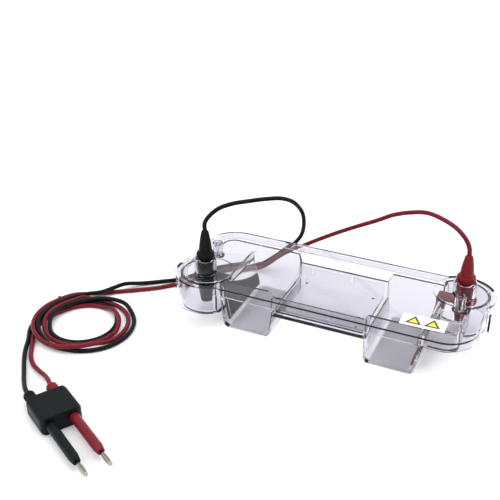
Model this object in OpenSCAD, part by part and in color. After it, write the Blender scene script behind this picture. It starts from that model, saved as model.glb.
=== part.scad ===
// Small horizontal gel electrophoresis tank with a lift-off lid, twin leads and a twin power plug.
// The origin is under the middle of the tank, +X runs along it to the anode and +Z is up.
// The tank looks the same when it is turned half round about Z, so most pieces are drawn for the
// anode end and turned for the cathode end.

/* [Lid] */
// Length of the lid without its round lobes
lid_length = 268; // [262:1:272]
// Width of the lid without its round lobes
lid_width = 105; // [102:1:108]
// Height of the lid's top face
lid_top = 48.3; // [47.8:0.1:50]
// Thickness of the lid's plate
lid_plate = 2.6; // [2:0.1:3]
// Thickness of the lid's skirts
skirt_wall = 2; // [1.5:0.1:2.2]
// Height of the low skirt's bottom edge
skirt_bottom = 40; // [38:0.5:42]
// Height of the deep skirt's bottom edge round a lobe
deep_skirt_bottom = 20.3; // [18:0.1:24]
// Corner radius where the lid has no lobe
lid_corner = 27; // [22:1:30]
// Radius of a lobe
lobe_r = 29.4; // [28.5:0.1:30]
// Distance from the middle to a lobe's centre, along X
lobe_x = 108; // [107:0.5:109]
// Distance from the middle to a lobe's centre, along Y
lobe_y = 28.4; // [27.5:0.1:29]
// Radius of the raised ring on a lobe
lobe_ring_r = 24.5; // [22:0.5:26]
// Outer radius of a vent post
vent_r = 4.65; // [4:0.05:5]
// Height of the vent posts above the lid
vent_height = 13.7; // [10:0.1:16]

/* [Tank] */
// Distance from the middle to a reservoir's outer wall
reservoir_end = 93; // [92:0.5:94]
// Distance from the middle to a reservoir's inner wall
reservoir_start = 41; // [40:0.5:42]
// Half of the width over the reservoirs
tank_half_width = 38; // [37:0.5:39]
// Distance from the middle to the end wall
tank_end = 120; // [118:0.5:121]
// Wall thickness of the moulding
wall = 2.5; // [2:0.1:2.8]
// Half of the width over the gel platform
platform_half_width = 35; // [34.5:0.5:36]
// Height of the platform's underside
platform_bottom = 21; // [18:0.1:22]
// Height of the platform's side walls
platform_wall_top = 38.5; // [36:0.5:40]
// Height of the end shelf's underside
shelf_bottom = 29.5; // [28:0.5:31]
// Outer radius of a terminal cup
cup_r = 24.5; // [23.5:0.1:25]
// Height of a terminal cup's underside
cup_bottom = 15; // [14.5:0.5:16]

/* [Gel tray] */
// Length of the gel tray
tray_length = 80; // [70:1:81]
// Width of the gel tray
tray_width = 62; // [58:1:64]
// Height of the tray's side walls above its floor
tray_wall_height = 10; // [8:0.5:11]
// Width of the slots that hold a comb
comb_slot = 3; // [2:0.5:4]

/* [Terminals] */
// Distance from the middle to a terminal, along X
terminal_x = 110; // [109.5:0.1:110.5]
// Distance from the middle to a terminal, along Y
terminal_y = 28; // [27.5:0.1:28.5]
// Diameter of the terminal pins and the plug pins
pin_d = 4; // [3.9:0.05:4.1]
// Radius of a carrier's round hub
hub_r = 11.35; // [10.5:0.05:12]
// Outer radius of a plug turret on the lid
turret_r = 10; // [9.5:0.1:10.5]
// Height of the turrets' top edge
turret_top = 60.5; // [58:0.5:62]
// Diameter of the electrode wires
wire_d = 0.5; // [0.3:0.1:0.8]

/* [Leads and power plug] */
// Diameter of a lead
lead_d = 4; // [3.6:0.1:4]
// Distance between the two plug pins
pin_spacing = 19; // [19:0.05:19.1]
// Length of the plug pins outside their sleeves
pin_length = 16.5; // [14:0.5:19]
// Length of the insulating sleeves
shroud_length = 47.5; // [40:0.5:50]
// Radius of the insulating sleeves
shroud_r = 4; // [3.6:0.1:4.5]
// Thickness of the plug block
block_thickness = 16; // [15:0.5:16]

/* [Hidden] */

$fn = 64;
cut = 1; // how far a cutting shape runs past the face it cuts
corner_steps = 6; // sides of a quarter round in an outline

// Colours
black_plastic = "#1c1c1e";
red_plastic = "#a5101c";
black_carrier = "#222224";
red_carrier = "#8e1420";

// Lid heights and radii
lid_underside = lid_top - lid_plate;
lobe_inner_r = lobe_r - skirt_wall;
lobe_ring_height = 0.8;
lobe_ring_width = 1.6;
skirt_open_from = -16.6; // the deep skirt's arc about the lobe's centre
skirt_open_to = 125.3;
turret_bore_r = 7.35;
vent_x = 112;
vent_bore_r = 1.95;
vent_foot_r = 6.25;
vent_foot_height = 1.5;
vent_cup_r = 3.4;
vent_cup_depth = 2;
vent_spigot_r = 3.6;

// Tank heights
lid_seat_gap = 0.2;
tank_top = lid_underside - lid_seat_gap;
shelf_floor = shelf_bottom + wall;
platform_plate = 2.3;
platform_floor = platform_bottom + platform_plate;
divider_top = 38.5;
inner_draft = 2; // how far a reservoir narrows towards its foot, at its inner and outer walls
outer_draft = 5;
reservoir_foot_start = reservoir_start + inner_draft;
reservoir_foot_end = reservoir_end - outer_draft;
foot_corner = 5;
end_corner = 12;
plan_corner = 6;
jog_length = 4; // the side walls rise from the platform to the rim along this length
cup_corner = 5;

// Gel tray
tray_foot_height = 0.5;
tray_floor = 3;
tray_wall = 2;
tray_z = platform_floor + tray_foot_height;
tray_height = tray_floor + tray_wall_height;
tray_foot_r = 1.2;
tray_foot_inset = 8;
tray_foot_x = tray_length / 2 - tray_foot_inset;
tray_foot_y = tray_width / 2 - tray_foot_inset;
comb_slot_depth = 7;
comb_slots_x = [-30, 8];

// Carrier blade: it lies on the reservoir's outer wall, high beside the terminal
blade_gap = 0.3;
blade_thickness = 2;
blade_bottom = 5.5;
blade_low_top = 17;
blade_high_top = 42.5;
blade_y0 = -32.5;
blade_y1 = 32.5;
blade_curve = 1.45;
blade_steps = 12;
arm_y0 = 20;
arm_end = 96;
hub_top = 42.5;
hub_thickness = 2.5;
cone_bottom = 18;
cone_tip_r = 5.2;
cone_top_r = 8;
nut_pocket_r = 3.9;
nut_pocket_top = 24;

// Terminal pin and its fasteners
pin_r = pin_d / 2;
terminal_bottom = 19;
terminal_top = 56;
washer_r = 3.7;
washer_thickness = 0.8;
nut_r = 3.7;
nut_thickness = 3;
fit_gap = 0.05;

// Lid plug and socket
plug_flange_r = 9.5;
plug_barrel_r = 7.3;
socket_r = 3.2;
socket_top = 58;
socket_bore_top = 57;

// Label
label_size = [37, 17];
label_at = [90, -30.5];
label_turn = 2;
label_thickness = 0.2;

// Boots
collar_r = 8;
collar_foot_r = 6.6;
collar_taper = 2;
collar_height = 6;
boot_body_r = 5.9;
boot_shoulder_r = 3.4;
boot_shoulder = 1.5;
boot_tip_r = 2.4;
boot_curve = 1.6; // above 1 the body bulges
boot_steps = 8;
cathode_boot_top = 88;
anode_boot_top = 86;

// Electrode wire
wire_z = 7;
wire_y0 = -31;
wire_y1 = 31;
wire_rise_top = 39.4;
wire_sides = 16;

// Coil of both leads
coil_at = [-204, -91];
coil_inner_r = 27;
coil_outer_r = 49;
coil_height = 8.6;
tie_angle = 152;
tie_length = 6;
tie_thickness = 1;

// Power plug: its own frame starts in the middle of the block's front face, +X along the pins
plug_at = [-136, -216.2];
plug_turn = -31;
plug_axis_z = 8;
block_length = 32;
block_width = 34;
block_round = 4;
relief_length = 14;
relief_r = 4.7;
relief_tip_r = 3.6;
relief_nose = 2.5;
shroud_tip = 6;
shroud_tip_r = 3;
pin_seat = 14;
pin_root_r = 1.5; // the root sits in the sleeve and shows as a neck
pin_neck = 2.5;
pin_join = 0.1; // how far the slits run into the neck and the nose
pin_slit = 0.5;
pin_nose = 0.8;

// Routes of the leads' middle lines. An arc rises from its boot and falls behind the tank,
// a run lies on the bench up to the coil, and a tail leads from the coil to the plug.
cathode_arc = [
    [-110, -28, 88], [-110, -28, 95], [-107, -26, 101], [-101, -20, 107], [-94, -8, 108],
    [-84, 8, 106], [-74, 22, 104], [-64, 36, 100.5], [-57, 47, 93.5], [-52, 57, 80],
    [-52, 63, 65.5], [-56, 68, 50], [-64, 70, 37.5], [-76, 72, 25], [-88, 72, 13.5], [-99, 71, 5]
];
anode_arc = [
    [110, 28, 86], [109, 28, 93], [105, 30, 99], [96, 34, 105], [83, 40, 108], [67, 48, 107.5],
    [51, 54, 102], [35, 58, 94.5], [19, 60, 84.5], [1, 62, 74], [-18, 64, 62.5], [-39, 64, 49.5],
    [-60, 65, 35], [-77, 65, 22], [-88, 65, 11.5], [-99, 63, 4]
];
cathode_run = [
    [-110, 68, 2], [-121, 62, 2], [-132, 52, 2], [-143, 40, 2], [-154, 26, 2], [-166, 12, 2],
    [-179, 2, 2], [-192, -9, 3], [-203, -21, 6], [-209, -33, 6.5], [-215, -44, 6.5],
    [-226, -53, 6.5], [-234, -62, 6.5]
];
anode_run = [
    [-110, 60, 2], [-120, 53, 2], [-130, 42, 2], [-140, 30, 2], [-150, 16, 2], [-162, 4, 2],
    [-174, -8, 2], [-187, -18, 2], [-200, -27, 2], [-213, -36, 2], [-226, -47, 3.5], [-237, -59, 6]
];
cathode_tail = [
    [-238, -122, 2], [-233, -133, 2], [-226, -146, 2], [-217, -159.5, 2], [-206.5, -173, 3],
    [-196, -186, 5], [-186.5, -196, 7.2], [-180.3, -200.7, 8]
];
anode_tail = [
    [-229, -130, 2], [-223, -141, 2], [-215.5, -152, 2], [-206, -161, 2.3], [-195, -167.5, 3.5],
    [-184.5, -173, 5.3], [-176, -179.5, 7.4], [-170.5, -184.4, 8]
];
lead_sides = 8;
cathode_arc_side = [1, -0.2, 0]; // a direction that the arc never follows
anode_arc_side = [0.5, 0.86, 0];

// Draws its children at the anode end and, turned half round, at the cathode end.
module both_ends() {
    for (turn = [0, 180]) rotate([0, 0, turn]) children();
}

module at_terminal() {
    translate([terminal_x, terminal_y, 0]) children();
}

// Upright block with rounded corners, centred on the origin.
module rounded_block(length, width, corner, z0, z1) {
    for (size = [[length - 2 * corner, width], [length, width - 2 * corner]])
        translate([-size.x / 2, -size.y / 2, z0]) cube([size.x, size.y, z1 - z0]);
    for (x = [-1, 1], y = [-1, 1])
        translate([x * (length / 2 - corner), y * (width / 2 - corner), z0])
            cylinder(h = z1 - z0, r = corner);
}

function arc_points(centre, r, from, to, steps) =
    [for (i = [0:steps]) let (a = from + (to - from) * i / steps)
        [centre.x + r * cos(a), centre.y + r * sin(a)]];

// Extrudes an outline drawn in X and Z along Y, centred.
module along_y(width) {
    translate([0, width / 2, 0]) rotate([90, 0, 0]) linear_extrude(width) children();
}

// Outline of a reservoir in X and Z, drawn inwards from the moulding's outside by inset.
// The foot is narrower than the mouth, so the moulding leaves its mould.
module reservoir_outline(inset, top_start, top_slope) {
    corner = foot_corner - inset / 2;
    polygon(concat(
        [[reservoir_start + inset, top_start]],
        arc_points([reservoir_foot_start + inset + corner, inset + corner], corner, 180, 270, corner_steps),
        arc_points([reservoir_foot_end - inset - corner, inset + corner], corner, 270, 360, corner_steps),
        [[reservoir_end - inset, shelf_bottom],
         [reservoir_end - inset, tank_top + (inset > 0 ? cut : 0)],
         [reservoir_start + inset + top_slope, tank_top + (inset > 0 ? cut : 0)]]
    ));
}

module reservoir_outside() {
    middle = (reservoir_start + reservoir_end) / 2;
    intersection() {
        along_y(2 * tank_half_width) reservoir_outline(0, platform_wall_top, jog_length);
        translate([middle, 0, 0])
            rounded_block(reservoir_end - reservoir_start, 2 * tank_half_width, plan_corner, 0, tank_top);
    }
}

module reservoir_inside() {
    middle = (reservoir_start + reservoir_end) / 2;
    intersection() {
        along_y(2 * (tank_half_width - wall)) reservoir_outline(wall, platform_floor, 0);
        translate([middle, 0, 0])
            rounded_block(reservoir_end - reservoir_start - 2 * wall, 2 * (tank_half_width - wall),
                plan_corner - wall, 0, tank_top + cut);
    }
}

// The raised end of the tank beyond a reservoir: a shelf with a rounded end wall.
module end_zone(inset, start, z0, z1) {
    half = tank_half_width - inset;
    stop = tank_end - inset;
    corner = end_corner - inset;
    translate([start, -half, z0]) cube([stop - corner - start, 2 * half, z1 - z0]);
    translate([start, -half + corner, z0]) cube([stop - start, 2 * (half - corner), z1 - z0]);
    for (side = [-1, 1])
        translate([stop - corner, side * (half - corner), z0]) cylinder(h = z1 - z0, r = corner);
}

// Round cup below a terminal, cut off at the reservoir's wall.
module terminal_cup(inset, start, top) {
    r = cup_r - inset;
    corner = cup_corner - inset / 2;
    z0 = cup_bottom + inset;
    intersection() {
        translate([lobe_x, lobe_y, 0])
            rotate_extrude()
                polygon(concat([[0, z0]],
                    arc_points([r - corner, z0 + corner], corner, 270, 360, corner_steps),
                    [[r, top], [0, top]]));
        translate([start, 0, 0]) cube([2 * cup_r + tank_end, 4 * cup_r, top + cut]);
    }
}

module tank_body() {
    past_top = tank_top + cut;
    color("lightblue", 0.35)
    difference() {
        union() {
            translate([-reservoir_start - cut, -platform_half_width, platform_bottom])
                cube([2 * (reservoir_start + cut), 2 * platform_half_width,
                    platform_wall_top - platform_bottom]);
            both_ends() {
                reservoir_outside();
                end_zone(0, reservoir_end - 2 * plan_corner, shelf_bottom, tank_top);
                terminal_cup(0, reservoir_end - wall, tank_top);
            }
        }
        translate([-reservoir_start - wall - cut, -platform_half_width + wall, platform_floor])
            cube([2 * (reservoir_start + wall + cut), 2 * (platform_half_width - wall), tank_top]);
        both_ends() {
            reservoir_inside();
            end_zone(wall, reservoir_end, shelf_floor, past_top);
            end_zone(wall, reservoir_end - 2 * wall, divider_top, past_top);
            terminal_cup(wall, reservoir_end, past_top);
        }
    }
}

module gel_tray() {
    color("aliceblue", 0.4) {
        difference() {
            translate([-tray_length / 2, -tray_width / 2, tray_z])
                cube([tray_length, tray_width, tray_height]);
            translate([-tray_length / 2 - cut, -tray_width / 2 + tray_wall, tray_z + tray_floor])
                cube([tray_length + 2 * cut, tray_width - 2 * tray_wall, tray_wall_height + cut]);
            for (x = comb_slots_x)
                translate([x, -tray_width / 2 - cut, tray_z + tray_height - comb_slot_depth])
                    cube([comb_slot, tray_width + 2 * cut, comb_slot_depth + cut]);
        }
        for (x = [-1, 1], y = [-1, 1])
            translate([x * tray_foot_x, y * tray_foot_y, platform_floor])
                cylinder(h = tray_foot_height, r = tray_foot_r);
    }
}

// Inner face of a reservoir's outer wall at height z.
function inner_wall_x(z) =
    reservoir_end - wall - (reservoir_end - reservoir_foot_end)
    * max(0, shelf_bottom - z) / (shelf_bottom - foot_corner);

// Height of the blade's top edge across the reservoir.
function blade_top(y) = blade_low_top
    + (blade_high_top - blade_low_top) * pow((y - blade_y0) / (blade_y1 - blade_y0), blade_curve);

module carrier_blade() {
    face = [for (z = [blade_bottom, shelf_bottom, blade_high_top]) [inner_wall_x(z) - blade_gap, z]];
    back = [for (i = [2:-1:0]) face[i] - [blade_thickness, 0]];
    intersection() {
        along_y(2 * tank_half_width) polygon(concat(face, back));
        rotate([90, 0, 90])
            linear_extrude(reservoir_end)
                polygon(concat([[blade_y0, blade_bottom]],
                    [for (i = [0:blade_steps])
                        let (y = blade_y0 + (blade_y1 - blade_y0) * i / blade_steps) [y, blade_top(y)]],
                    [[blade_y1, blade_bottom]]));
    }
}

module carrier() {
    blade_x = reservoir_end - wall - blade_gap - blade_thickness;
    difference() {
        union() {
            carrier_blade();
            translate([blade_x, arm_y0, divider_top])
                cube([arm_end - blade_x, blade_y1 - arm_y0, hub_top - divider_top]);
            translate([arm_end - cut, arm_y0, hub_top - hub_thickness])
                cube([terminal_x - arm_end, blade_y1 - arm_y0, hub_thickness]);
            translate([reservoir_end + blade_gap, arm_y0, shelf_floor])
                cube([arm_end - reservoir_end - blade_gap, blade_y1 - arm_y0, hub_top - shelf_floor]);
            at_terminal() {
                translate([0, 0, hub_top - hub_thickness]) cylinder(h = hub_thickness, r = hub_r);
                translate([0, 0, cone_bottom])
                    cylinder(h = hub_top - hub_thickness - cone_bottom, r1 = cone_tip_r, r2 = cone_top_r);
            }
        }
        at_terminal() {
            translate([0, 0, cone_bottom - cut]) cylinder(h = hub_top, r = pin_r + fit_gap);
            translate([0, 0, cone_bottom - cut])
                cylinder(h = nut_pocket_top - cone_bottom + cut, r = nut_pocket_r);
        }
    }
}

// Straight length of wire, run on by its radius at both ends so that corners close.
module straight_wire(from, to) {
    run = to - from;
    turn = atan2(run.y, run.x);
    tilt = atan2(norm([run.x, run.y]), run.z);
    translate(from) rotate([0, tilt, turn])
        translate([0, 0, -wire_d / 2]) cylinder(h = norm(run) + wire_d, d = wire_d, $fn = wire_sides);
}

// Bare wire along the blade's foot and up beside the terminal to the arm.
module electrode_wire() {
    front = blade_gap + blade_thickness + wire_d / 2;
    route = [
        [inner_wall_x(wire_z) - front, wire_y0, wire_z],
        [inner_wall_x(wire_z) - front, wire_y1, wire_z],
        [inner_wall_x(shelf_bottom) - front, wire_y1, shelf_bottom],
        [inner_wall_x(shelf_bottom) - front, wire_y1, wire_rise_top]
    ];
    for (i = [0:len(route) - 2]) straight_wire(route[i], route[i + 1]);
}

module terminal() {
    at_terminal() {
        translate([0, 0, terminal_bottom])
            cylinder(h = terminal_top - pin_nose - terminal_bottom, r = pin_r);
        translate([0, 0, terminal_top - pin_nose]) cylinder(h = pin_nose, r1 = pin_r, r2 = pin_r - pin_nose);
    }
}

module terminal_washers() {
    color("silver")
    both_ends() at_terminal() translate([0, 0, nut_pocket_top - washer_thickness])
        difference() {
            cylinder(h = washer_thickness, r = washer_r);
            translate([0, 0, -cut]) cylinder(h = washer_thickness + 2 * cut, r = pin_r + fit_gap);
        }
}

module terminal_nuts() {
    color("silver")
    both_ends() at_terminal() translate([0, 0, nut_pocket_top - washer_thickness - nut_thickness])
        difference() {
            cylinder(h = nut_thickness, r = nut_r, $fn = 6);
            translate([0, 0, -cut]) cylinder(h = nut_thickness + 2 * cut, r = pin_r + fit_gap);
        }
}

module lid_block(inset, z0, z1) {
    rounded_block(lid_length - 2 * inset, lid_width - 2 * inset, lid_corner - inset, z0, z1);
    both_ends() translate([lobe_x, lobe_y, z0]) cylinder(h = z1 - z0, r = lobe_r - inset);
}

// Deep skirt round the free side of a lobe.
module deep_skirt() {
    reach = 2 * lobe_r;
    translate([lobe_x, lobe_y, deep_skirt_bottom])
    intersection() {
        difference() {
            cylinder(h = lid_underside - deep_skirt_bottom, r = lobe_r);
            translate([0, 0, -cut]) cylinder(h = lid_top, r = lobe_inner_r);
        }
        linear_extrude(lid_top)
            polygon(concat([[0, 0]], arc_points([0, 0], reach, skirt_open_from, skirt_open_to, 3)));
    }
}

module lid() {
    color("lightcyan", 0.35)
    difference() {
        union() {
            difference() {
                lid_block(0, skirt_bottom, lid_top);
                lid_block(skirt_wall, skirt_bottom - cut, lid_underside);
            }
            both_ends() {
                deep_skirt();
                at_terminal() cylinder(h = turret_top, r = turret_r);
                translate([lobe_x, lobe_y, 0]) cylinder(h = lid_top + lobe_ring_height, r = lobe_ring_r);
            }
        }
        both_ends() {
            at_terminal() translate([0, 0, -cut]) cylinder(h = turret_top + 2 * cut, r = turret_bore_r);
            translate([lobe_x, lobe_y, -cut]) cylinder(h = lid_underside + cut, r = lobe_inner_r);
            difference() {
                translate([lobe_x, lobe_y, lid_top]) cylinder(h = cut, r = lobe_ring_r - lobe_ring_width);
                at_terminal() cylinder(h = turret_top, r = turret_r);
            }
            translate([vent_x, 0, 0]) cylinder(h = lid_top + cut, r = vent_spigot_r + fit_gap);
            translate([vent_x, 0, lid_top]) cylinder(h = cut, r = vent_foot_r + fit_gap);
        }
    }
}

module lid_vents() {
    color("white", 0.5)
    both_ends() translate([vent_x, 0, 0])
        difference() {
            union() {
                translate([0, 0, lid_underside]) cylinder(h = lid_plate, r = vent_spigot_r);
                translate([0, 0, lid_top]) cylinder(h = vent_foot_height, r = vent_foot_r);
                translate([0, 0, lid_top]) cylinder(h = vent_height, r = vent_r);
            }
            cylinder(h = lid_top + vent_height + cut, r = vent_bore_r);
            translate([0, 0, lid_top + vent_height - vent_cup_depth])
                cylinder(h = vent_cup_depth + cut, r = vent_cup_r);
        }
}

module lid_label() {
    color("white")
    translate([label_at.x, label_at.y, lid_top]) rotate([0, 0, label_turn])
        translate([-label_size.x / 2, -label_size.y / 2, 0])
            cube([label_size.x, label_size.y, label_thickness]);
}

// Insulating body that hangs in a turret and seats on the carrier's hub.
module lid_plug() {
    at_terminal()
    difference() {
        union() {
            translate([0, 0, hub_top]) cylinder(h = lid_underside - hub_top, r = plug_flange_r);
            translate([0, 0, hub_top]) cylinder(h = turret_top - hub_top, r = plug_barrel_r);
        }
        translate([0, 0, hub_top - cut]) cylinder(h = socket_top - hub_top + cut, r = socket_r);
    }
}

module socket() {
    at_terminal()
    difference() {
        translate([0, 0, hub_top]) cylinder(h = socket_top - hub_top, r = socket_r);
        translate([0, 0, hub_top - cut]) cylinder(h = socket_bore_top - hub_top + cut, r = pin_r + fit_gap);
    }
}

// Smooth boot over a thicker collar, closed round the lead at its top.
module boot(top) {
    body_bottom = turret_top + collar_height;
    at_terminal()
    rotate_extrude()
        polygon(concat(
            [[0, turret_top], [collar_foot_r, turret_top], [collar_r, turret_top + collar_taper],
             [collar_r, body_bottom]],
            [for (i = [0:boot_steps]) let (t = i / boot_steps)
                [boot_body_r + (boot_shoulder_r - boot_body_r) * pow(t, boot_curve),
                 body_bottom + (top - boot_shoulder - body_bottom) * t]],
            [[boot_tip_r, top], [0, top]]
        ));
}

function unit(v) = v / norm(v);

// Ring of points round the route at point i, square to the route there.
function lead_ring(route, i, reference) =
    let (along = unit(route[min(i + 1, len(route) - 1)] - route[max(i - 1, 0)]),
         u = unit(cross(reference, along)),
         v = cross(along, u))
    [for (k = [0:lead_sides - 1]) let (a = 360 * k / lead_sides)
        route[i] + lead_d / 2 * (cos(a) * u + sin(a) * v)];

// Round tube along the points first to last of a route.
module lead(route, first, last, reference) {
    rings = last - first;
    points = [for (i = [first:last]) each lead_ring(route, i, reference)];
    sides = [for (i = [0:rings - 1], k = [0:lead_sides - 1])
        let (next = (k + 1) % lead_sides, low = i * lead_sides, high = low + lead_sides)
        each [[low + k, high + k, high + next], [low + k, high + next, low + next]]];
    start = [for (k = [0:lead_sides - 1]) k];
    end = [for (k = [lead_sides - 1:-1:0]) rings * lead_sides + k];
    polyhedron(points = points, faces = concat([start], sides, [end]));
}

module lead_arc(arc, run, reference) {
    lead(concat(arc, run), 0, len(arc), reference);
}

module lead_run(arc, run) {
    lead(concat(arc, run), len(arc), len(arc) + len(run) - 1, [0, 0, 1]);
}

module lead_tail(tail) {
    lead(tail, 0, len(tail) - 1, [0, 0, 1]);
}

module lead_coil() {
    color("dimgray")
    translate([coil_at.x, coil_at.y, 0])
        rotate_extrude()
            translate([coil_inner_r, 0]) square([coil_outer_r - coil_inner_r, coil_height]);
}

// Strap over the coil, down both of its sides to the bench.
module coil_tie() {
    color("black")
    translate([coil_at.x, coil_at.y, 0]) rotate([0, 0, tie_angle])
    difference() {
        translate([coil_inner_r - tie_thickness, -tie_length / 2, 0])
            cube([coil_outer_r - coil_inner_r + 2 * tie_thickness, tie_length, coil_height + tie_thickness]);
        translate([0, 0, -cut])
            difference() {
                cylinder(h = coil_height + cut, r = coil_outer_r);
                translate([0, 0, -cut]) cylinder(h = coil_height + 3 * cut, r = coil_inner_r);
            }
    }
}

module at_plug(side) {
    translate([plug_at.x, plug_at.y, plug_axis_z]) rotate([0, 0, plug_turn])
        translate([0, side * pin_spacing / 2, 0]) rotate([0, 90, 0]) children();
}

module plug_block() {
    color(black_plastic)
    translate([plug_at.x, plug_at.y, plug_axis_z]) rotate([0, 0, plug_turn])
        translate([-block_length / 2, 0, 0])
            intersection() {
                translate([0, 0, -block_thickness / 2])
                    rounded_block(block_length, block_width, block_round, 0, block_thickness);
                translate([-block_length / 2, 0, 0]) rotate([0, 90, 0])
                    rounded_block(block_thickness, block_width, block_round, 0, block_length);
            }
}

// Blunt strain relief behind the block.
module relief(side) {
    at_plug(side)
    translate([0, 0, -block_length - relief_length]) {
        cylinder(h = relief_nose, r1 = relief_tip_r, r2 = relief_r);
        translate([0, 0, relief_nose]) cylinder(h = relief_length - relief_nose, r = relief_r);
    }
}

module shroud(side) {
    at_plug(side)
    difference() {
        union() {
            cylinder(h = shroud_length - shroud_tip, r = shroud_r);
            translate([0, 0, shroud_length - shroud_tip])
                cylinder(h = shroud_tip, r1 = shroud_r, r2 = shroud_tip_r);
        }
        translate([0, 0, shroud_length - pin_seat]) cylinder(h = pin_seat + cut, r = pin_root_r + fit_gap);
    }
}

// Plug pin with four sprung leaves that meet at its neck and its nose.
module plug_pin(side) {
    leaves_start = shroud_length + pin_neck;
    leaves_end = shroud_length + pin_length - pin_nose;
    at_plug(side)
    difference() {
        union() {
            translate([0, 0, shroud_length - pin_seat]) cylinder(h = pin_seat + pin_neck, r = pin_root_r);
            translate([0, 0, leaves_start]) cylinder(h = leaves_end - leaves_start, r = pin_r);
            translate([0, 0, leaves_end]) cylinder(h = pin_nose, r1 = pin_r, r2 = pin_r - pin_nose);
        }
        for (turn = [0, 90])
            rotate([0, 0, turn])
                translate([-pin_d, -pin_slit / 2, leaves_start - pin_join])
                    cube([2 * pin_d, pin_slit, leaves_end - leaves_start + 2 * pin_join]);
    }
}

module cathode_end() {
    rotate([0, 0, 180]) children();
}

module cathode_carrier() {
    color(black_carrier) cathode_end() carrier();
}

module anode_carrier() {
    color(red_carrier) carrier();
}

module cathode_wire() {
    color("silver") cathode_end() electrode_wire();
}

module anode_wire() {
    color("silver") electrode_wire();
}

module cathode_terminal() {
    color("gold") cathode_end() terminal();
}

module anode_terminal() {
    color("gold") terminal();
}

module cathode_plug() {
    color(black_plastic) cathode_end() lid_plug();
}

module anode_plug() {
    color(red_plastic) lid_plug();
}

module cathode_socket() {
    color("goldenrod") cathode_end() socket();
}

module anode_socket() {
    color("goldenrod") socket();
}

module cathode_boot() {
    color(black_plastic) cathode_end() boot(cathode_boot_top);
}

module anode_boot() {
    color(red_plastic) boot(anode_boot_top);
}

module cathode_lead_arc() {
    color(black_plastic) lead_arc(cathode_arc, cathode_run, cathode_arc_side);
}

module anode_lead_arc() {
    color(red_plastic) lead_arc(anode_arc, anode_run, anode_arc_side);
}

module cathode_lead_run() {
    color(black_plastic) lead_run(cathode_arc, cathode_run);
}

module anode_lead_run() {
    color(red_plastic) lead_run(anode_arc, anode_run);
}

module cathode_lead_tail() {
    color(black_plastic) lead_tail(cathode_tail);
}

module anode_lead_tail() {
    color(red_plastic) lead_tail(anode_tail);
}

module cathode_relief() {
    color(black_plastic) relief(-1);
}

module anode_relief() {
    color(red_plastic) relief(1);
}

module cathode_shroud() {
    color(black_plastic) shroud(-1);
}

module anode_shroud() {
    color(red_plastic) shroud(1);
}

module cathode_pin() {
    color("gainsboro") plug_pin(-1);
}

module anode_pin() {
    color("gainsboro") plug_pin(1);
}

tank_body();
gel_tray();
cathode_carrier();
anode_carrier();
cathode_wire();
anode_wire();
cathode_terminal();
anode_terminal();
terminal_washers();
terminal_nuts();
lid();
lid_vents();
lid_label();
cathode_plug();
anode_plug();
cathode_socket();
anode_socket();
cathode_boot();
anode_boot();
cathode_lead_arc();
anode_lead_arc();
cathode_lead_run();
anode_lead_run();
lead_coil();
coil_tie();
cathode_lead_tail();
anode_lead_tail();
plug_block();
cathode_relief();
anode_relief();
cathode_shroud();
anode_shroud();
cathode_pin();
anode_pin();
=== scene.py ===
import math

import bpy
from mathutils import Matrix, Vector


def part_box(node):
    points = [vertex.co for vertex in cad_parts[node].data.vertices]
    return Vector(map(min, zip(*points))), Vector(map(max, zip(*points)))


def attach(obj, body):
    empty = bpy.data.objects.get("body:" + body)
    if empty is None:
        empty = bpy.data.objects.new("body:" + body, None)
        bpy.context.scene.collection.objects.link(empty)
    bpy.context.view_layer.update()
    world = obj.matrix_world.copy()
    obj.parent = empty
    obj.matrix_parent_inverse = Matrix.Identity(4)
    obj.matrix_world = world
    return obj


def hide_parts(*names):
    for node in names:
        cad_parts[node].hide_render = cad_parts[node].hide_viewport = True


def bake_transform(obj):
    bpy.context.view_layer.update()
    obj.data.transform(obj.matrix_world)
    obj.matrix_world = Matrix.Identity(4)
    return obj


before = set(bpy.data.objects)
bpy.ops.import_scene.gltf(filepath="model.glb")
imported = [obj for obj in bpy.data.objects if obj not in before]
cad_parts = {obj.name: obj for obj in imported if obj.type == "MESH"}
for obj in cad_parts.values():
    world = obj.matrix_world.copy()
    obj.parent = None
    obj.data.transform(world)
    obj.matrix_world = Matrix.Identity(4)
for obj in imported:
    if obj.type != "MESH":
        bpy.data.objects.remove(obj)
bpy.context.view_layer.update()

mm = 0.001
scene = bpy.context.scene
print("frame loaded")


def alone(obj):
    bpy.ops.object.select_all(action="DESELECT")
    obj.select_set(True)
    bpy.context.view_layer.objects.active = obj
    return obj


def settle(obj):
    alone(obj)
    bpy.ops.object.transform_apply(location=True, rotation=True, scale=True)
    return obj


def applyModifiers(obj):
    alone(obj)
    for modifier in list(obj.modifiers):
        bpy.ops.object.modifier_apply(modifier=modifier.name)
    return obj


def smooth(obj, angle=32):
    alone(obj)
    bpy.ops.object.shade_smooth_by_angle(angle=math.radians(angle))
    return obj


def roundEdges(obj, width, segments=2, angle=30):
    bevel = obj.modifiers.new("edges", "BEVEL")
    bevel.width = width
    bevel.segments = segments
    bevel.limit_method = "ANGLE"
    bevel.angle_limit = math.radians(angle)
    bevel.use_clamp_overlap = True
    return applyModifiers(obj)


view = {
    "at": (0.20544, -0.61580, 0.43261),
    "down": 28.683,
    "turn": 24.815,
    "lens": 61.5,
    "sensor": 36.0,
    "near": 0.01,
}

bpy.ops.object.camera_add(location=view["at"])
camera = bpy.context.object
camera.name = "camera"
camera.rotation_euler = (math.radians(90 - view["down"]), 0, math.radians(view["turn"]))
camera.data.lens = view["lens"]
camera.data.sensor_width = view["sensor"]
camera.data.clip_start = view["near"]
scene.camera = camera

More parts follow.
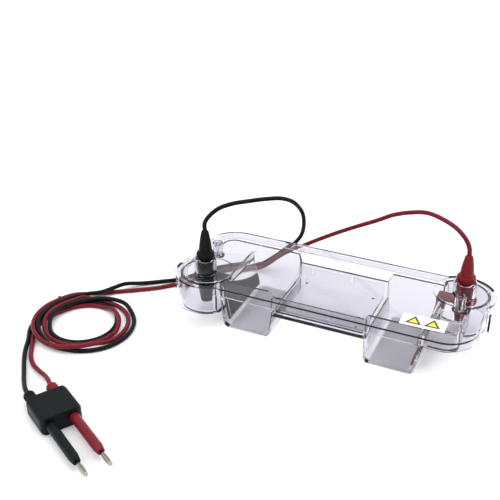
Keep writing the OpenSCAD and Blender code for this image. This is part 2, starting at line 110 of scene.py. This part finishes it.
studio = {
    "floorSize": 6.0,
    "floorColour": (0.97, 0.97, 0.97, 1),
    "floorRoughness": 0.7,
    "floorShine": 0.2,
    "worldColour": (0.90, 0.905, 0.92, 1),
    "worldStrength": 0.92,
    "lamps": [
        # name, place, aim, size, watts
        ("overhead", (0.0, 0.1, 1.5), (-0.05, -0.05, 0), 1.6, 12),
        ("key", (-0.9, -1.0, 1.1), (0, 0, 0.03), 0.8, 7),
        ("rim", (0.9, 1.1, 0.7), (0, 0, 0.04), 0.7, 6),
    ],
}


def makeStudio(s):
    bpy.ops.mesh.primitive_plane_add(size=s["floorSize"], location=(0, 0, 0))
    floor = bpy.context.object
    floor.name = "floor"
    paint = bpy.data.materials.new("floor")
    paint.use_nodes = True
    shader = paint.node_tree.nodes["Principled BSDF"]
    shader.inputs["Base Color"].default_value = s["floorColour"]
    shader.inputs["Roughness"].default_value = s["floorRoughness"]
    shader.inputs["Specular IOR Level"].default_value = s["floorShine"]
    floor.data.materials.append(paint)
    world = bpy.data.worlds.new("studio")
    world.use_nodes = True
    background = world.node_tree.nodes["Background"]
    background.inputs["Color"].default_value = s["worldColour"]
    background.inputs["Strength"].default_value = s["worldStrength"]
    scene.world = world
    for name, place, aim, size, watts in s["lamps"]:
        bpy.ops.object.light_add(type="AREA", location=place)
        lamp = bpy.context.object
        lamp.name = name
        lamp.data.size = size
        lamp.data.energy = watts
        lamp.rotation_euler = (Vector(aim) - Vector(place)).to_track_quat("-Z", "Y").to_euler()


makeStudio(studio)
scene.view_settings.view_transform = "Standard"
print("camera, floor and light made")


# Each lead follows its arc from the boot, its run along the bench, the coil and its tail to the plug.

leadSettings = {"diameter": 4.0, "sides": 14, "step": 1.2, "lowest": 2.0}

cathodeRoute = {
    "arc": [
        (-110, -28, 88), (-110, -28, 95), (-107, -26, 101), (-101, -20, 107), (-94, -8, 108),
        (-84, 8, 106), (-74, 22, 104), (-64, 36, 100.5), (-57, 47, 93.5), (-52, 57, 80),
        (-52, 63, 65.5), (-56, 68, 50), (-64, 70, 37.5), (-76, 72, 25), (-88, 72, 13.5), (-99, 71, 5),
    ],
    "run": [
        (-110, 68, 2), (-121, 62, 2), (-132, 52, 2), (-143, 40, 2), (-154, 26, 2), (-166, 12, 2),
        (-179, 2, 2), (-192, -9, 3), (-203, -21, 6), (-209, -33, 6.5), (-215, -44, 6.5),
        (-226, -53, 6.5), (-234, -62, 6.5),
    ],
    "tail": [
        (-233, -133, 2), (-226, -146, 2), (-217, -159.5, 2), (-206.5, -173, 3),
        (-196, -186, 5), (-186.5, -196, 7.2), (-180.3, -200.7, 8),
    ],
    # the coil: angle about its middle, distance from it and height
    "coil": [
        (152, 39.7, 6.4), (205, 39.6, 6.4), (235, 39.8, 5.2), (260, 40.3, 2), (285, 41.5, 2),
        (310, 43.8, 2), (335, 45.7, 2), (360, 46.2, 2), (385, 46, 2), (405, 45.6, 2.2),
        (425, 44, 6.2), (445, 40.2, 6.4), (465, 36, 6.4), (485, 32.3, 6.4), (512, 30.5, 6.4),
        (562, 29.7, 6.2), (585, 29.6, 2), (700, 29.7, 2), (740, 29.8, 2), (758, 30.3, 2),
        (775, 32, 2), (795, 34.2, 2), (815, 35, 2), (872, 35, 2), (885, 36, 2), (900, 39, 2),
        (915, 42.6, 2), (930, 46, 2), (943, 49, 2),
    ],
}
anodeRoute = {
    "arc": [
        (110, 28, 86), (109, 28, 93), (105, 30, 99), (96, 34, 105), (83, 40, 108), (67, 48, 107.5),
        (51, 54, 102), (35, 58, 94.5), (19, 60, 84.5), (1, 62, 74), (-18, 64, 62.5), (-39, 64, 49.5),
        (-60, 65, 35), (-77, 65, 22), (-88, 65, 11.5), (-99, 63, 4),
    ],
    "run": [
        (-110, 60, 2), (-120, 53, 2), (-130, 42, 2), (-140, 30, 2), (-150, 16, 2), (-162, 4, 2),
        (-174, -8, 2), (-187, -18, 2), (-200, -27, 2), (-213, -36, 2), (-226, -47, 3.5), (-237, -59, 6),
    ],
    "tail": [
        (-223, -141, 2), (-215.5, -152, 2), (-206, -161, 2.3), (-195, -167.5, 3.5),
        (-184.5, -173, 5.3), (-176, -179.5, 7.4), (-170.5, -184.4, 8),
    ],
    "coil": [
        (152, 44, 6.4), (205, 44, 6.4), (235, 44, 6), (262, 44, 5), (280, 43.7, 6.3), (300, 42.3, 6.4),
        (320, 41, 6.2), (340, 40.6, 2.4), (385, 40.6, 2), (425, 40.3, 2), (445, 39.8, 2), (463, 39.6, 2),
        (475, 39.6, 4), (486, 39, 6.4), (497, 36, 6.4), (512, 35, 6.4), (565, 34.2, 6.3), (588, 34, 2),
        (700, 33.8, 2), (725, 33.8, 2.3), (742, 33.2, 6), (762, 31, 6.4), (782, 30.2, 6), (806, 30.4, 2.2),
        (872, 30.5, 2), (885, 31.2, 2), (900, 33.6, 2), (915, 37, 2), (930, 40.4, 2), (943, 43.5, 2),
        (957, 46.5, 2),
    ],
}
# step and endGap are angles: no point is added within endGap of the coil's last one
coilSettings = {"middle": (-204, -91), "step": 15, "endGap": 1}


def slopes(x, y):
    steps = [(y[i + 1] - y[i]) / (x[i + 1] - x[i]) for i in range(len(x) - 1)]
    inner = [0 if a * b <= 0 else 2 * a * b / (a + b) for a, b in zip(steps, steps[1:])]
    return [steps[0]] + inner + [steps[-1]]


def between(x, y, at):
    m = slopes(x, y)
    i = max(k for k in range(len(x) - 1) if x[k] <= at)
    width = x[i + 1] - x[i]
    t = (at - x[i]) / width
    return ((1 + 2 * t) * (1 - t) ** 2 * y[i] + t * (1 - t) ** 2 * width * m[i]
            + t * t * (3 - 2 * t) * y[i + 1] + t * t * (t - 1) * width * m[i + 1])


def coilPoints(keys, s):
    angles, radii, heights = zip(*keys)
    points = []
    angle = angles[0] + s["step"]
    while angle < angles[-1] - s["endGap"]:
        r = between(angles, radii, angle)
        a = math.radians(angle)
        points.append((s["middle"][0] + r * math.cos(a), s["middle"][1] + r * math.sin(a),
                       between(angles, heights, angle)))
        angle += s["step"]
    return points


def throughPoints(points, s):
    # centripetal Catmull-Rom, so that close points make no loops
    p = [Vector(q) for q in points]
    p = [2 * p[0] - p[1]] + p + [2 * p[-1] - p[-2]]
    line = []
    for a, b, c, d in zip(p, p[1:], p[2:], p[3:]):
        t1 = (b - a).length ** 0.5
        t2 = t1 + (c - b).length ** 0.5
        t3 = t2 + (d - c).length ** 0.5
        count = max(2, round((c - b).length / s["step"]))
        for k in range(count):
            t = t1 + (t2 - t1) * k / count
            ab = a.lerp(b, t / t1)
            bc = b.lerp(c, (t - t1) / (t2 - t1))
            cd = c.lerp(d, (t - t2) / (t3 - t2))
            line.append(ab.lerp(bc, t / t2).lerp(bc.lerp(cd, (t - t1) / (t3 - t1)), (t - t1) / (t2 - t1)))
    line.append(p[-2])
    return [Vector((q.x, q.y, max(q.z, s["lowest"]))) * mm for q in line]


def makeLead(name, route, s):
    points = route["arc"] + route["run"] + coilPoints(route["coil"], coilSettings) + route["tail"]
    line = throughPoints(points, s)
    curve = bpy.data.curves.new(name, "CURVE")
    curve.dimensions = "3D"
    curve.twist_mode = "MINIMUM"
    curve.bevel_depth = s["diameter"] / 2 * mm
    curve.bevel_resolution = s["sides"] // 2 - 2
    curve.use_fill_caps = True
    spline = curve.splines.new("POLY")
    spline.points.add(len(line) - 1)
    for point, q in zip(spline.points, line):
        point.co = (*q, 1)
    lead = bpy.data.objects.new(name, curve)
    scene.collection.objects.link(lead)
    alone(lead)
    bpy.ops.object.convert(target="MESH")
    lead = bpy.context.object
    bpy.ops.object.shade_smooth()
    length = sum((b - a).length for a, b in zip(line, line[1:]))
    print(name, "is", round(length, 3), "m long")
    return lead, line, length


cathodeLead, cathodeLine, cathodeLength = makeLead("cathodeLead", cathodeRoute, leadSettings)
anodeLead, anodeLine, anodeLength = makeLead("anodeLead", anodeRoute, leadSettings)
print("leads made")


def newGroup(name, inputs, outputs):
    group = bpy.data.node_groups.new(name, "ShaderNodeTree")
    for title, kind, value in inputs:
        socket = group.interface.new_socket(name=title, in_out="INPUT", socket_type=kind)
        socket.default_value = value
    for title, kind in outputs:
        group.interface.new_socket(name=title, in_out="OUTPUT", socket_type=kind)
    return group, group.nodes.new("NodeGroupInput"), group.nodes.new("NodeGroupOutput")


def mathNode(nodes, operation, *values):
    node = nodes.new("ShaderNodeMath")
    node.operation = operation
    for i, value in enumerate(values):
        if value is not None:
            node.inputs[i].default_value = value
    return node


# what a finish has where it doesn't say otherwise
usual = {
    "patches": 40, "colourChange": 0.15, "roughnessChange": 0.1, "grain": 1500,
    "bump": 0.1, "bumpDepth": 0.0002, "patchDetail": 4, "grainDetail": 3,
}


def makeHandling(s):
    # soft patches where hands and cloths have been, as a colour, a roughness and a height
    group, given, out = newGroup("handling", [
        ("Color", "NodeSocketColor", (0.5, 0.5, 0.5, 1)),
        ("Roughness", "NodeSocketFloat", 0.4),
        ("Patch Size", "NodeSocketFloat", s["patches"]),
        ("Colour Change", "NodeSocketFloat", s["colourChange"]),
        ("Roughness Change", "NodeSocketFloat", s["roughnessChange"]),
        ("Grain Size", "NodeSocketFloat", s["grain"]),
    ], [("Color", "NodeSocketColor"), ("Roughness", "NodeSocketFloat"), ("Grain", "NodeSocketFloat")])
    nodes, link = group.nodes, group.links.new
    place = nodes.new("ShaderNodeTexCoord")
    patches = nodes.new("ShaderNodeTexNoise")
    patches.inputs["Detail"].default_value = s["patchDetail"]
    grain = nodes.new("ShaderNodeTexNoise")
    grain.inputs["Detail"].default_value = s["grainDetail"]
    link(place.outputs["Object"], patches.inputs["Vector"])
    link(place.outputs["Object"], grain.inputs["Vector"])
    link(given.outputs["Patch Size"], patches.inputs["Scale"])
    link(given.outputs["Grain Size"], grain.inputs["Scale"])
    centred = mathNode(nodes, "SUBTRACT", None, 0.5)
    link(patches.outputs["Fac"], centred.inputs[0])
    colourStep = mathNode(nodes, "MULTIPLY_ADD", None, None, 1.0)
    link(centred.outputs[0], colourStep.inputs[0])
    link(given.outputs["Colour Change"], colourStep.inputs[1])
    tint = nodes.new("ShaderNodeVectorMath")
    tint.operation = "SCALE"
    link(given.outputs["Color"], tint.inputs[0])
    link(colourStep.outputs[0], tint.inputs["Scale"])
    roughStep = mathNode(nodes, "MULTIPLY_ADD")
    link(centred.outputs[0], roughStep.inputs[0])
    link(given.outputs["Roughness Change"], roughStep.inputs[1])
    link(given.outputs["Roughness"], roughStep.inputs[2])
    link(tint.outputs[0], out.inputs["Color"])
    link(roughStep.outputs[0], out.inputs["Roughness"])
    link(grain.outputs["Fac"], out.inputs["Grain"])
    return group


handling = makeHandling(usual)


def makeMaterial(name, finish):
    s = {**usual, **finish}
    material = bpy.data.materials.new(name)
    material.use_nodes = True
    nodes, link = material.node_tree.nodes, material.node_tree.links.new
    shader = nodes["Principled BSDF"]
    touch = nodes.new("ShaderNodeGroup")
    touch.node_tree = handling
    touch.inputs["Color"].default_value = (*s["colour"], 1)
    touch.inputs["Roughness"].default_value = s["roughness"]
    touch.inputs["Patch Size"].default_value = s["patches"]
    touch.inputs["Colour Change"].default_value = s["colourChange"]
    touch.inputs["Roughness Change"].default_value = s["roughnessChange"]
    touch.inputs["Grain Size"].default_value = s["grain"]
    link(touch.outputs["Color"], shader.inputs["Base Color"])
    link(touch.outputs["Roughness"], shader.inputs["Roughness"])
    bump = nodes.new("ShaderNodeBump")
    bump.inputs["Strength"].default_value = s["bump"]
    bump.inputs["Distance"].default_value = s["bumpDepth"]
    link(touch.outputs["Grain"], bump.inputs["Height"])
    link(bump.outputs["Normal"], shader.inputs["Normal"])
    for socket, value in s.get("shader", {}).items():
        shader.inputs[socket].default_value = value
    if s.get("clear"):
        # lamps shine through clear plastic with little loss
        path = nodes.new("ShaderNodeLightPath")
        through = nodes.new("ShaderNodeBsdfTransparent")
        through.inputs["Color"].default_value = (*s["clear"], 1)
        mix = nodes.new("ShaderNodeMixShader")
        link(path.outputs["Is Shadow Ray"], mix.inputs["Fac"])
        link(shader.outputs["BSDF"], mix.inputs[1])
        link(through.outputs["BSDF"], mix.inputs[2])
        link(mix.outputs["Shader"], nodes["Material Output"].inputs["Surface"])
    return material


finishes = {
    "tankClear": {
        "colour": (0.87, 0.865, 0.895), "roughness": 0.03, "roughnessChange": 0.05, "colourChange": 0.02,
        "bump": 0.02, "grain": 60, "clear": (0.965, 0.965, 0.975),
        "shader": {"Transmission Weight": 1.0, "IOR": 1.35},
    },
    "lidClear": {
        "colour": (0.82, 0.815, 0.85), "roughness": 0.03, "roughnessChange": 0.05, "colourChange": 0.02,
        "bump": 0.02, "grain": 60, "clear": (0.965, 0.965, 0.975),
        "shader": {"Transmission Weight": 1.0, "IOR": 1.35},
    },
    "trayClear": {
        "colour": (0.93, 0.93, 0.95), "roughness": 0.02, "roughnessChange": 0.03, "colourChange": 0.01,
        "bump": 0.01, "grain": 60, "clear": (0.97, 0.97, 0.98),
        "shader": {"Transmission Weight": 1.0, "IOR": 1.2},
    },
    "blackPlastic": {
        "colour": (0.004, 0.006, 0.007), "roughness": 0.42, "grain": 2200, "bump": 0.18,
        "shader": {"Specular IOR Level": 0.12},
    },
    "blackCarrier": {
        "colour": (0.012, 0.015, 0.019), "roughness": 0.35, "grain": 1800, "bump": 0.12,
        "shader": {"Specular IOR Level": 0.12},
    },
    "redPlastic": {
        "colour": (0.17, 0.005, 0.014), "roughness": 0.36, "grain": 2200, "bump": 0.15,
        "shader": {"Specular IOR Level": 0.25, "Subsurface Weight": 0.08,
                   "Subsurface Radius": (0.006, 0.002, 0.002)},
    },
    "redCarrier": {
        "colour": (0.15, 0.008, 0.016), "roughness": 0.3, "grain": 1800, "bump": 0.1,
        "shader": {"Specular IOR Level": 0.25, "Subsurface Weight": 0.1,
                   "Subsurface Radius": (0.006, 0.002, 0.002)},
    },
    "blackRubber": {
        "colour": (0.002, 0.003, 0.003), "roughness": 0.55, "grain": 2600, "bump": 0.3,
        "shader": {"Specular IOR Level": 0.15},
    },
    "redRubber": {
        "colour": (0.17, 0.003, 0.009), "roughness": 0.46, "grain": 2600, "bump": 0.25,
        "shader": {"Specular IOR Level": 0.25},
    },
    "blackJacket": {
        "colour": (0.002, 0.003, 0.004), "roughness": 0.36, "patches": 90, "grain": 1400, "bump": 0.14,
        "shader": {"Specular IOR Level": 0.12, "Coat Weight": 0.04, "Coat Roughness": 0.3},
    },
    "redJacket": {
        "colour": (0.15, 0.005, 0.013), "roughness": 0.34, "patches": 90, "grain": 1400, "bump": 0.14,
        "shader": {"Specular IOR Level": 0.15, "Coat Weight": 0.06, "Coat Roughness": 0.3},
    },
    "nickel": {
        "colour": (0.46, 0.44, 0.38), "roughness": 0.2, "patches": 260, "grain": 3000, "bump": 0.06,
        "shader": {"Metallic": 1.0},
    },
    "gold": {
        "colour": (0.80, 0.60, 0.28), "roughness": 0.22, "patches": 260, "grain": 3000, "bump": 0.06,
        "shader": {"Metallic": 1.0},
    },
    "steel": {
        "colour": (0.55, 0.55, 0.56), "roughness": 0.3, "patches": 260, "grain": 3000, "bump": 0.08,
        "shader": {"Metallic": 1.0},
    },
    "platinum": {
        "colour": (0.72, 0.71, 0.69), "roughness": 0.18, "patches": 300, "grain": 3000, "bump": 0.02,
        "shader": {"Metallic": 1.0},
    },
    "film": {
        "colour": (0.90, 0.90, 0.89), "roughness": 0.35, "colourChange": 0.04, "grain": 900, "bump": 0.05,
    },
    "yellowInk": {
        "colour": (0.78, 0.72, 0.05), "roughness": 0.4, "colourChange": 0.05, "grain": 900, "bump": 0.03,
    },
    "blackInk": {
        "colour": (0.02, 0.02, 0.02), "roughness": 0.4, "colourChange": 0.1, "grain": 900, "bump": 0.03,
    },
}
materials = {name: makeMaterial(name, s) for name, s in finishes.items()}


def paint(obj, name):
    obj.data.materials.clear()
    obj.data.materials.append(materials[name])
    return obj


def dress(obj, finish, node, body):
    paint(obj, finish)
    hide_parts(node)
    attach(obj, body)


print("materials made")


def softened(node, name, width, segments, merge=1e-5, flat=0.4):
    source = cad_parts[node]
    obj = source.copy()
    obj.data = source.data.copy()
    obj.name = name
    obj.parent = None
    for key in list(obj.keys()):
        if key.startswith("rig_"):
            del obj[key]
    scene.collection.objects.link(obj)
    alone(obj)
    if obj.data.has_custom_normals:
        bpy.ops.mesh.customdata_custom_splitnormals_clear()
    bpy.ops.object.mode_set(mode="EDIT")
    bpy.ops.mesh.select_all(action="SELECT")
    bpy.ops.mesh.remove_doubles(threshold=merge)
    bpy.ops.mesh.dissolve_limited(angle_limit=math.radians(flat))
    bpy.ops.object.mode_set(mode="OBJECT")
    roundEdges(obj, width, segments)
    smooth(obj)
    obj.modifiers.new("normals", "WEIGHTED_NORMAL").keep_sharp = True
    return applyModifiers(obj)


mouldings = [
    # node, piece, body, finish, slot, edge radius in mm
    ("tank_body", "tankBody", "tank", "tankClear", "tank_acrylic", 0.45),
    ("gel_tray", "gelTray", "gel_tray", "trayClear", "tray_acrylic", 0.4),
    ("lid", "lidCover", "lid", "lidClear", "lid_acrylic", 0.7),
    ("lid_vents", "lidVents", "lid", "lidClear", "lid_acrylic", 0.35),
    ("cathode_carrier", "cathodeCarrier", "tank", "blackCarrier", "black_plastic", 0.35),
    ("anode_carrier", "anodeCarrier", "tank", "redCarrier", "red_plastic", 0.35),
    ("cathode_plug", "cathodePlug", "lid", "blackPlastic", "black_plastic", 0.3),
    ("anode_plug", "anodePlug", "lid", "redPlastic", "red_plastic", 0.3),
    ("cathode_terminal", "cathodeTerminal", "tank", "gold", "gold_plate", 0.12),
    ("anode_terminal", "anodeTerminal", "tank", "gold", "gold_plate", 0.12),
    ("terminal_nuts", "terminalNuts", "tank", "steel", "steel", 0.15),
    ("terminal_washers", "terminalWashers", "tank", "steel", "steel", 0.1),
    ("cathode_shroud", "cathodeShroud", "tank", "blackPlastic", "black_plastic", 0.3),
    ("anode_shroud", "anodeShroud", "tank", "redPlastic", "red_plastic", 0.3),
    ("plug_block", "plugBlock", "tank", "blackPlastic", "black_plastic", 1.0),
]
# one flat chamfer keeps clear edges free of dark streaks
edgeSteps = {"clear": 1, "other": 3}

pieces = {}
for node, name, body, finish, slot, edge in mouldings:
    piece = softened(node, name, edge * mm, edgeSteps["clear" if finish.endswith("Clear") else "other"])
    dress(piece, finish, node, body)
    pieces[name] = piece
    print(name, len(piece.data.polygons), "faces")

plainNodes = {
    "cathode_wire": "platinum", "anode_wire": "platinum", "cathode_socket": "gold", "anode_socket": "gold",
}
for node, finish in plainNodes.items():
    paint(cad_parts[node], finish)
print("mouldings made")


def turned(name, profile, centre, sides=48):
    # profile lists radius and height from the foot up, in mm
    (r, z), rest = profile[0], profile[1:]
    bpy.ops.object.select_all(action="DESELECT")
    bpy.ops.mesh.primitive_circle_add(vertices=sides, radius=r * mm, fill_type="NGON",
                                      location=(centre[0] * mm, centre[1] * mm, z * mm))
    obj = bpy.context.object
    obj.name = name
    settle(obj)
    bpy.ops.object.mode_set(mode="EDIT")
    bpy.ops.mesh.select_all(action="SELECT")
    for nextR, nextZ in rest:
        bpy.ops.mesh.extrude_region_move(TRANSFORM_OT_translate={"value": (0, 0, (nextZ - z) * mm)})
        bpy.ops.transform.resize(value=(nextR / r, nextR / r, 1),
                                 center_override=(centre[0] * mm, centre[1] * mm, nextZ * mm))
        r, z = nextR, nextZ
    bpy.ops.mesh.select_all(action="SELECT")
    bpy.ops.mesh.normals_make_consistent(inside=False)
    bpy.ops.object.mode_set(mode="OBJECT")
    return obj


bootSettings = {
    "footR": 6.6, "collarR": 7.6, "taper": 2.0, "collarTop": 6.0, "bodyR": 5.9, "shoulderR": 3.4,
    "shoulder": 1.5, "tipR": 2.4, "curve": 1.6, "steps": 14, "edge": 0.5,
    "ribs": 16, "ribR": 0.55, "ribSides": 12, "ribSink": 0.15, "ribGap": 0.2, "ribEdge": 0.2,
}


def makeBoot(name, centre, foot, top, s):
    start = foot + s["collarTop"]
    profile = [(s["footR"], foot), (s["collarR"], foot + s["taper"]),
               (s["collarR"], start), (s["bodyR"], start)]
    for i in range(1, s["steps"] + 1):
        t = i / s["steps"]
        profile.append((s["bodyR"] + (s["shoulderR"] - s["bodyR"]) * t ** s["curve"],
                        start + (top - s["shoulder"] - start) * t))
    profile.append((s["tipR"], top))
    boot = turned(name, profile, centre)
    roundEdges(boot, s["edge"] * mm, segments=3, angle=35)
    smooth(boot, angle=45)
    grips = []
    reach = s["collarR"] - s["ribSink"]
    height = s["collarTop"] - s["taper"] - 2 * s["ribGap"]
    for i in range(s["ribs"]):
        a = math.radians(360 * i / s["ribs"])
        bpy.ops.mesh.primitive_cylinder_add(
            vertices=s["ribSides"], radius=s["ribR"] * mm, depth=height * mm,
            location=((centre[0] + reach * math.cos(a)) * mm, (centre[1] + reach * math.sin(a)) * mm,
                      (start - s["ribGap"] - height / 2) * mm))
        grips.append(bpy.context.object)
    bpy.ops.object.select_all(action="DESELECT")
    for grip in grips:
        roundEdges(grip, s["ribEdge"] * mm, angle=60)
        smooth(grip)
    bpy.ops.object.select_all(action="DESELECT")
    for part in grips + [boot]:
        part.select_set(True)
    bpy.context.view_layer.objects.active = boot
    bpy.ops.object.join()
    return settle(boot)


boots = {}
for name, node, centre, finish, slot in [
    ("cathodeBoot", "cathode_boot", (-110, -28), "blackRubber", "black_rubber"),
    ("anodeBoot", "anode_boot", (110, 28), "redRubber", "red_rubber"),
]:
    low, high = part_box(node)
    boots[name] = makeBoot(name, centre, low.z / mm, high.z / mm, bootSettings)
    dress(boots[name], finish, node, "lid")

plugFrame = {"at": (-136, -216.2), "axisHeight": 8, "turn": -31, "spacing": 19, "blockLength": 32}


def toPlug(obj, side, s):
    # stands a piece turned about Z along a plug pin
    lay = Matrix.Rotation(math.radians(90), 4, "Y")
    shift = Matrix.Translation(Vector((0, side * s["spacing"] / 2, 0)) * mm)
    turn = Matrix.Rotation(math.radians(s["turn"]), 4, "Z")
    place = Matrix.Translation(Vector((s["at"][0], s["at"][1], s["axisHeight"])) * mm)
    obj.matrix_world = place @ turn @ shift @ lay
    return settle(obj)


# a ring's place, slope and groove width are shares of the rings' pitch
reliefSettings = {
    "length": 14, "r": 4.7, "tipR": 3.6, "nose": 2.5, "lipIn": 0.6, "lip": 0.5, "edge": 0.15,
    "rings": 4, "groove": 0.45, "ends": 0.5, "firstRing": 0.55, "slope": 0.15, "width": 0.5,
}


def makeRelief(name, side, s):
    start = -plugFrame["blockLength"] - s["length"]
    profile = [(s["tipR"] - s["lipIn"], start), (s["tipR"], start + s["lip"]), (s["r"], start + s["nose"])]
    pitch = (s["length"] - s["nose"]) / (s["rings"] + s["ends"])
    for i in range(s["rings"]):
        z = start + s["nose"] + pitch * (i + s["firstRing"])
        profile += [(s["r"], z), (s["r"] - s["groove"], z + s["slope"] * pitch),
                    (s["r"] - s["groove"], z + (s["width"] - s["slope"]) * pitch),
                    (s["r"], z + s["width"] * pitch)]
    profile.append((s["r"], -plugFrame["blockLength"]))
    relief = turned(name, profile, (0, 0), sides=36)
    roundEdges(relief, s["edge"] * mm, angle=25)
    return smooth(toPlug(relief, side, plugFrame), angle=40)


# the sleeve's length, then the pin's lengths measured from the sleeve's end
pinSettings = {
    "sleeve": 47.5, "seat": 14, "rootR": 1.5, "neck": 2.5, "join": 0.1, "leafEnd": 15.7, "length": 16.5,
    "endR": 1.55, "middleR": 2.0, "noseR": 1.5, "noseStep": 0.3, "noseIn": 0.5, "steps": 10,
    "slot": 0.5, "slotFrom": 3.6, "slotTo": 14.4, "cutterWidth": 8,
}


def makePin(name, side, s):
    base = s["sleeve"]
    profile = [(s["rootR"], base - s["seat"]), (s["rootR"], base + s["neck"])]
    for i in range(s["steps"] + 1):
        t = i / s["steps"]
        r = s["endR"] + (s["middleR"] - s["endR"]) * math.sin(math.pi * t)
        profile.append((r, base + s["neck"] + s["join"] + (s["leafEnd"] - s["neck"] - s["join"]) * t))
    profile += [(s["noseR"], base + s["leafEnd"] + s["noseStep"]),
                (s["noseR"] - s["noseIn"], base + s["length"])]
    pin = turned(name, profile, (0, 0), sides=36)
    for turn in (0, 90):
        bpy.ops.mesh.primitive_cube_add(size=1, rotation=(0, 0, math.radians(turn)),
                                        location=(0, 0, (base + (s["slotFrom"] + s["slotTo"]) / 2) * mm))
        cutter = bpy.context.object
        cutter.dimensions = (s["cutterWidth"] * mm, s["slot"] * mm, (s["slotTo"] - s["slotFrom"]) * mm)
        settle(cutter)
        trim = pin.modifiers.new("slot", "BOOLEAN")
        trim.object = cutter
        trim.solver = "EXACT"
        applyModifiers(pin)
        bpy.data.objects.remove(cutter)
    return smooth(toPlug(pin, side, plugFrame), angle=35)


for name, node, side in [("cathodePin", "cathode_pin", -1), ("anodePin", "anode_pin", 1)]:
    pieces[name] = makePin(name, side, pinSettings)
    dress(pieces[name], "nickel", node, "tank")

for name, node, side, finish, slot in [
    ("cathodeRelief", "cathode_relief", -1, "blackRubber", "black_rubber"),
    ("anodeRelief", "anode_relief", 1, "redRubber", "red_rubber"),
]:
    pieces[name] = makeRelief(name, side, reliefSettings)
    dress(pieces[name], finish, node, "tank")
print("turned pieces made")


stickerSettings = {
    "size": (37, 17), "at": (90, -30.5), "turn": 2, "thickness": 0.5, "edge": 0.02,
    "marks": (-7.8, 7.7), "marksDown": -1.0, "inkThickness": 0.03, "corner": 0.9,
    "layers": [
        # radius, finish, height as a share of the CAD label's thickness
        (7.9, "blackInk", 0.55),
        (4.7, "yellowInk", 0.8),
    ],
}


def makeSticker(s):
    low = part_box("lid_label")[0].z
    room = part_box("lid_label")[1].z - low
    filmTop = room * s["thickness"]
    turn = math.radians(s["turn"])
    middle = Vector((s["at"][0] * mm, s["at"][1] * mm, 0))
    bpy.ops.object.select_all(action="DESELECT")
    bpy.ops.mesh.primitive_cube_add(size=1, location=(middle.x, middle.y, low + filmTop / 2),
                                    rotation=(0, 0, turn))
    film = bpy.context.object
    film.name = "stickerFilm"
    film.scale = (s["size"][0] * mm, s["size"][1] * mm, filmTop)
    settle(film)
    roundEdges(film, s["edge"] * mm, segments=1)
    paint(film, "film")
    outlineR = s["layers"][0][0]
    marks = []
    for i, along in enumerate(s["marks"]):
        spot = middle + Matrix.Rotation(turn, 3, "Z") @ Vector((along, s["marksDown"], 0)) * mm
        for layer, (r, finish, lift) in enumerate(s["layers"]):
            height = low + room * lift + s["inkThickness"] / 2 * mm
            bpy.ops.mesh.primitive_cylinder_add(vertices=3, radius=r * mm, depth=s["inkThickness"] * mm,
                                                location=(spot.x, spot.y, height), rotation=(0, 0, turn))
            mark = bpy.context.object
            mark.name = "stickerMark%d%d" % (i, layer)
            settle(mark)
            roundEdges(mark, s["corner"] * mm * r / outlineR, segments=3, angle=60)
            paint(mark, finish)
            marks.append(mark)
    return film, marks


stickerFilm, stickerMarks = makeSticker(stickerSettings)
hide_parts("lid_label")
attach(stickerFilm, "lid")
for mark in stickerMarks:
    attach(mark, "lid")
print("sticker made")


tieSettings = {
    "angle": 152, "inner": 28.2, "outer": 46.4, "height": 9.0, "width": 2.6, "thickness": 0.6, "corner": 2.2,
    "tail": 4.2, "tailOut": 1.2, "tailLean": 35, "tailHeight": 0.72, "tailThickness": 1.6, "tailWidth": 0.75,
    "edge": 0.15,
}


def makeTie(s):
    # meant as a strap round the bundle of turns with a short end at either side, but the delete
    # leaves no face of the strap, so only the ends are made
    bpy.ops.object.select_all(action="DESELECT")
    middle = (s["inner"] + s["outer"]) / 2
    bpy.ops.mesh.primitive_cube_add(size=1, location=(middle * mm, 0, s["height"] / 2 * mm))
    tie = bpy.context.object
    tie.name = "coilTie"
    tie.dimensions = ((s["outer"] - s["inner"]) * mm, s["width"] * mm, s["height"] * mm)
    settle(tie)
    for face in tie.data.polygons:
        face.select = abs(face.normal.y) > 0.9
    bpy.ops.object.mode_set(mode="EDIT")
    bpy.ops.mesh.select_mode(type="FACE")
    bpy.ops.mesh.delete(type="FACE")
    bpy.ops.object.mode_set(mode="OBJECT")
    roundEdges(tie, s["corner"] * mm, segments=5)
    strap = tie.modifiers.new("strap", "SOLIDIFY")
    strap.thickness = s["thickness"] * mm
    strap.offset = -1
    applyModifiers(tie)
    ends = []
    for reach, lean in [(s["inner"] - s["tailOut"], s["tailLean"]),
                        (s["outer"] + s["tailOut"], -s["tailLean"])]:
        bpy.ops.mesh.primitive_cube_add(size=1, location=(reach * mm, 0, s["height"] * s["tailHeight"] * mm),
                                        rotation=(0, math.radians(lean), 0))
        ends.append(bpy.context.object)
        ends[-1].dimensions = (s["thickness"] * s["tailThickness"] * mm, s["width"] * s["tailWidth"] * mm,
                               s["tail"] * mm)
        settle(ends[-1])
    bpy.ops.object.select_all(action="DESELECT")
    for part in ends + [tie]:
        part.select_set(True)
    bpy.context.view_layer.objects.active = tie
    bpy.ops.object.join()
    roundEdges(tie, s["edge"] * mm, angle=40)
    tie.matrix_world = (Matrix.Translation(Vector((*coilSettings["middle"], 0)) * mm)
                        @ Matrix.Rotation(math.radians(s["angle"]), 4, "Z"))
    return smooth(settle(tie), angle=40)


coilTie = makeTie(tieSettings)
dress(coilTie, "blackRubber", "coil_tie", "tank")
print("coil tie made")

paint(cathodeLead, "blackJacket")
paint(anodeLead, "redJacket")
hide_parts("cathode_lead_arc", "cathode_lead_run", "cathode_lead_tail", "lead_coil")
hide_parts("anode_lead_arc", "anode_lead_run", "anode_lead_tail", "lead_coil")
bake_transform(cathodeLead)
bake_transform(anodeLead)
